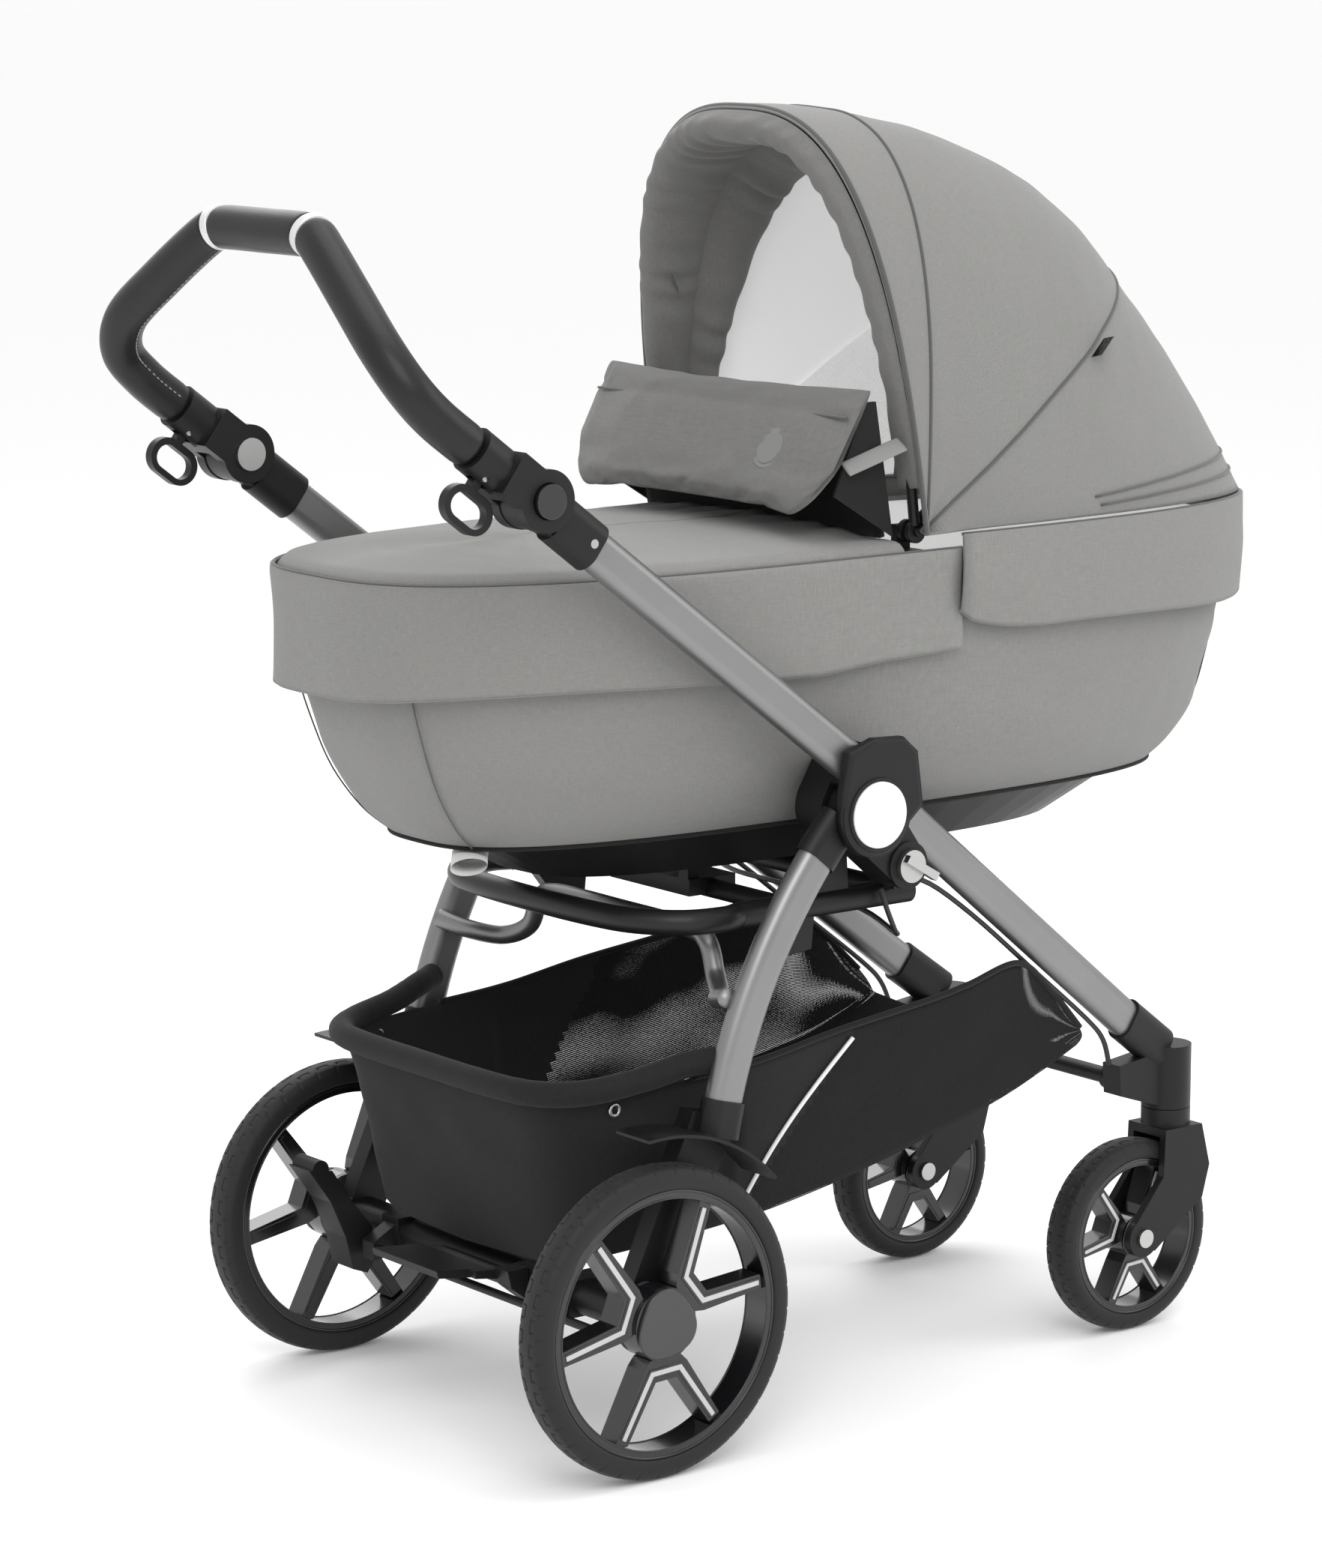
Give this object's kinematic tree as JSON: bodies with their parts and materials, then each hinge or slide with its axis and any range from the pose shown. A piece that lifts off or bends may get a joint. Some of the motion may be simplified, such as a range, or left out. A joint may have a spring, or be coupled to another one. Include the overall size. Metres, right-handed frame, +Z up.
{
  "type": "baby stroller",
  "caption": "Pram-style baby stroller with a folding chassis, tilting handle, swivelling front wheels and a lift-off carrycot with hood.",
  "frame": {"origin": "on the floor under the middle of the stroller", "axes": "+X towards the front wheels, +Y to the left side, +Z up"},
  "size_m": [1.1238, 0.532, 1.1811],
  "materials": {
    "tube": "satin silver-grey",
    "black_plastic": "fine grain",
    "gloss_black": "glossy",
    "disc_white": "satin",
    "leatherette": "fine grain with stitched seam",
    "ring_pale": "satin",
    "cloth_grey": "woven melange grey",
    "cloth_black": "woven black",
    "tyre": "dark treaded",
    "rim_black": "fine grain",
    "cap_grey": "satin",
    "mattress_white": "soft white",
    "cable_rubber": "smooth sheath",
    "steel": "zinc plated"
  },
  "bodies": {
    "chassis": {"front_legs": "tube", "pivot_casting_left": "black_plastic", "pivot_casting_right": "black_plastic", "pivot_pins": "steel", "support_frame": "black_plastic", "support_bar": "leatherette", "front_crossbar": "black_plastic", "caster_housings": "black_plastic", "swivel_cables": "cable_rubber", "basket": "cloth_black"},
    "handle_frame": {"handle_tubes": "tube", "hub_housings": "black_plastic", "hub_discs": "disc_white", "joint_lower_left": "black_plastic", "joint_lower_right": "black_plastic", "sleeve_screws": "steel"},
    "handle_bar": {"joint_upper_left": "black_plastic", "joint_upper_right": "black_plastic", "joint_pins": "steel", "handle_core": "tube", "handle_grips": "leatherette", "centre_grip": "leatherette", "grip_rings": "ring_pale"},
    "button_left": {"joint_button_left": "gloss_black"},
    "button_right": {"joint_button_right": "gloss_black"},
    "lever_left": {"fold_lever_left": "black_plastic"},
    "lever_right": {"fold_lever_right": "black_plastic"},
    "rear_frame": {"rear_legs": "tube", "leg_castings": "black_plastic", "rear_cross_bar": "tube", "rear_axle_beam": "black_plastic", "basket_rim_bar": "cloth_black", "foot_step": "black_plastic"},
    "brake": {"brake_pedal": "black_plastic"},
    "rear_wheel_left": {"rear_tyre_left": "tyre", "rear_rim_left": "rim_black", "rear_cap_left": "cap_grey"},
    "rear_wheel_right": {"rear_tyre_right": "tyre", "rear_rim_right": "rim_black", "rear_cap_right": "cap_grey"},
    "caster_left": {"caster_fork_left": "black_plastic", "axle_bolt_left": "steel"},
    "caster_right": {"caster_fork_right": "black_plastic", "axle_bolt_right": "steel"},
    "front_wheel_left": {"front_tyre_left": "tyre", "front_rim_left": "rim_black"},
    "front_wheel_right": {"front_tyre_right": "tyre", "front_rim_right": "rim_black"},
    "dial": {"swivel_dial": "steel"},
    "carrycot": {"cot_base": "black_plastic", "cot_shell": "cloth_grey", "mattress": "mattress_white", "apron": "cloth_grey", "flap_wall": "cloth_grey", "head_skirt": "cloth_grey", "hood_pivots": "black_plastic", "hood_canopy": "cloth_grey"},
    "hood_front": {"front_bow": "black_plastic"},
    "hood_rear": {"rear_bow": "black_plastic"},
    "wind_flap": {"wind_flap": "cloth_grey"}
  },
  "joints": [
    {"name": "fold", "type": "hinge", "parent": "chassis", "child": "handle_frame", "pos_m": [-0.045, 0, 0.565], "axis": [0, 1, 0], "range_deg": [0, 130]},
    {"name": "rear_leg_fold", "type": "hinge", "parent": "chassis", "child": "rear_frame", "pos_m": [-0.045, 0, 0.565], "axis": [0, 1, 0], "range_deg": [-50, 0], "deforming": ["basket"]},
    {"name": "handle_tilt", "type": "hinge", "parent": "handle_frame", "child": "handle_bar", "pos_m": [-0.4066, 0, 0.8712], "axis": [0, 1, 0], "range_deg": [-34, 0]},
    {"name": "button_press_left", "type": "slide", "parent": "handle_bar", "child": "button_left", "axis": [0, -1, 0], "range_m": [0, 0.004], "stiffness_N_per_m": 400},
    {"name": "button_press_right", "type": "slide", "parent": "handle_bar", "child": "button_right", "axis": [0, 1, 0], "range_m": [0, 0.004], "stiffness_N_per_m": 400},
    {"name": "lever_left", "type": "hinge", "parent": "handle_bar", "child": "lever_left", "pos_m": [-0.4629, 0.229, 0.8928], "axis": [0, 1, 0], "range_deg": [0, 10], "stiffness_Nm_per_rad": 0.05, "springref_deg": -11.46},
    {"name": "lever_right", "type": "hinge", "parent": "handle_bar", "child": "lever_right", "pos_m": [-0.4629, -0.229, 0.8928], "axis": [0, 1, 0], "range_deg": [0, 10], "stiffness_Nm_per_rad": 0.05, "springref_deg": -11.46},
    {"name": "rear_wheel_spin_left", "type": "hinge", "parent": "rear_frame", "child": "rear_wheel_left", "pos_m": [-0.29, 0.247, 0.141], "axis": [0, 1, 0], "continuous": true},
    {"name": "rear_wheel_spin_right", "type": "hinge", "parent": "rear_frame", "child": "rear_wheel_right", "pos_m": [-0.29, -0.247, 0.141], "axis": [0, 1, 0], "continuous": true},
    {"name": "caster_turn_left", "type": "hinge", "parent": "chassis", "child": "caster_left", "pos_m": [0.402, 0.161, 0.2], "axis": [0, 0, 1], "continuous": true},
    {"name": "caster_turn_right", "type": "hinge", "parent": "chassis", "child": "caster_right", "pos_m": [0.402, -0.161, 0.2], "axis": [0, 0, 1], "continuous": true},
    {"name": "front_wheel_spin_left", "type": "hinge", "parent": "caster_left", "child": "front_wheel_left", "pos_m": [0.352, 0.161, 0.094], "axis": [0, 1, 0], "continuous": true},
    {"name": "front_wheel_spin_right", "type": "hinge", "parent": "caster_right", "child": "front_wheel_right", "pos_m": [0.352, -0.161, 0.094], "axis": [0, 1, 0], "continuous": true},
    {"name": "brake_press", "type": "hinge", "parent": "rear_frame", "child": "brake", "pos_m": [-0.328, 0, 0.13], "axis": [0, 1, 0], "range_deg": [-18, 0]},
    {"name": "dial_turn", "type": "hinge", "parent": "chassis", "child": "dial", "pos_m": [0.023, -0.217, 0.505], "axis": [0, 1, 0], "range_deg": [0, 60]},
    {"name": "carrycot_lift", "type": "slide", "parent": "chassis", "child": "carrycot", "axis": [0, 0, 1], "range_m": [0, 0.3]},
    {"name": "hood_fold", "type": "hinge", "parent": "carrycot", "child": "hood_front", "pos_m": [0.058, 0, 0.803], "axis": [0, 1, 0], "range_deg": [0, 70], "deforming": ["hood_canopy"]},
    {"name": "hood_rear_fold", "type": "hinge", "parent": "carrycot", "child": "hood_rear", "pos_m": [0.058, 0, 0.803], "axis": [0, 1, 0], "range_deg": [0, 24.5]},
    {"name": "wind_flap_lift", "type": "hinge", "parent": "carrycot", "child": "wind_flap", "pos_m": [0, 0, 0.934], "axis": [0, 1, 0], "range_deg": [0, 75]}
  ],
  "couplings": [
    {"joint": "rear_leg_fold", "follows": "fold", "ratio": -0.38461},
    {"joint": "hood_rear_fold", "follows": "hood_fold", "ratio": 0.35}
  ]
}
